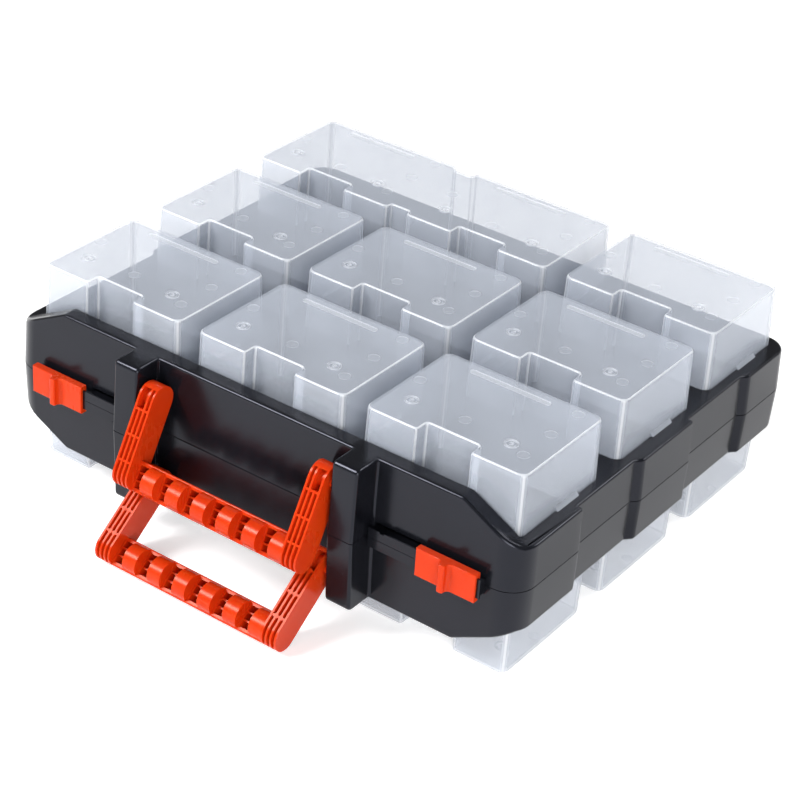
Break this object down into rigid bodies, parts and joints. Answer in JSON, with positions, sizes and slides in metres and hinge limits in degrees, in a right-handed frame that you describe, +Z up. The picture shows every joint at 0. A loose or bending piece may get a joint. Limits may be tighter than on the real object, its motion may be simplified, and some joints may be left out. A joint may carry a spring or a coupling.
{
  "type": "double-sided organizer box",
  "caption": "Flat carrying case of two hinged half shells with clear snap-in bins standing out of both faces, paired folding handles and sliding latches at the front.",
  "frame": {"origin": "centre of the flat closed end of the lower middle bin, on the surface that the box lies on", "axes": "+Z up through the stack of bins, -Y towards the handles and latches, +X to the right as seen from the handles"},
  "size_m": [0.38, 0.3792, 0.1364],
  "materials": {
    "black_plastic": "satin moulded black plastic",
    "orange_plastic": "semi-gloss moulded orange plastic",
    "clear_plastic": "frosted clear plastic",
    "steel_pin": "drawn steel wire"
  },
  "bodies": {
    "lower_half": {"lower_shell": "black_plastic", "lower_bin_front_left": "clear_plastic", "lower_bin_front_middle": "clear_plastic", "lower_bin_front_right": "clear_plastic", "lower_bin_centre_left": "clear_plastic", "lower_bin_centre_middle": "clear_plastic", "lower_bin_centre_right": "clear_plastic", "lower_bin_rear_left": "clear_plastic", "lower_bin_rear_double": "clear_plastic", "hinge_pin_left": "steel_pin", "hinge_pin_right": "steel_pin"},
    "upper_half": {"upper_shell": "black_plastic", "upper_bin_front_left": "clear_plastic", "upper_bin_front_middle": "clear_plastic", "upper_bin_front_right": "clear_plastic", "upper_bin_centre_left": "clear_plastic", "upper_bin_centre_middle": "clear_plastic", "upper_bin_centre_right": "clear_plastic", "upper_bin_rear_right": "clear_plastic", "upper_bin_rear_double": "clear_plastic"},
    "divider": {"divider_panel": "black_plastic"},
    "upper_grip": {"upper_handle": "orange_plastic"},
    "lower_grip": {"lower_handle": "orange_plastic"},
    "left_slider": {"left_latch": "orange_plastic"},
    "right_slider": {"right_latch": "orange_plastic"}
  },
  "joints": [
    {"name": "case_hinge", "type": "hinge", "parent": "lower_half", "child": "upper_half", "pos_m": [0, 0.1572, 0.0682], "axis": [-1, 0, 0], "range_deg": [0, 180]},
    {"name": "divider_hinge", "type": "hinge", "parent": "lower_half", "child": "divider", "pos_m": [0, 0.1572, 0.0682], "axis": [-1, 0, 0], "range_deg": [0, 90]},
    {"name": "upper_handle_hinge", "type": "hinge", "parent": "upper_half", "child": "upper_grip", "pos_m": [0, -0.1701, 0.0978], "axis": [1, 0, 0], "range_deg": [-152, 0]},
    {"name": "lower_handle_hinge", "type": "hinge", "parent": "lower_half", "child": "lower_grip", "pos_m": [0, -0.1701, 0.0386], "axis": [1, 0, 0], "range_deg": [-32, 52]},
    {"name": "left_latch_slide", "type": "slide", "parent": "upper_half", "child": "left_slider", "axis": [1, 0, 0], "range_m": [0, 0.033]},
    {"name": "right_latch_slide", "type": "slide", "parent": "lower_half", "child": "right_slider", "axis": [-1, 0, 0], "range_m": [0, 0.033]}
  ],
  "couplings": [
    {"joint": "divider_hinge", "follows": "case_hinge", "ratio": 0.5}
  ]
}
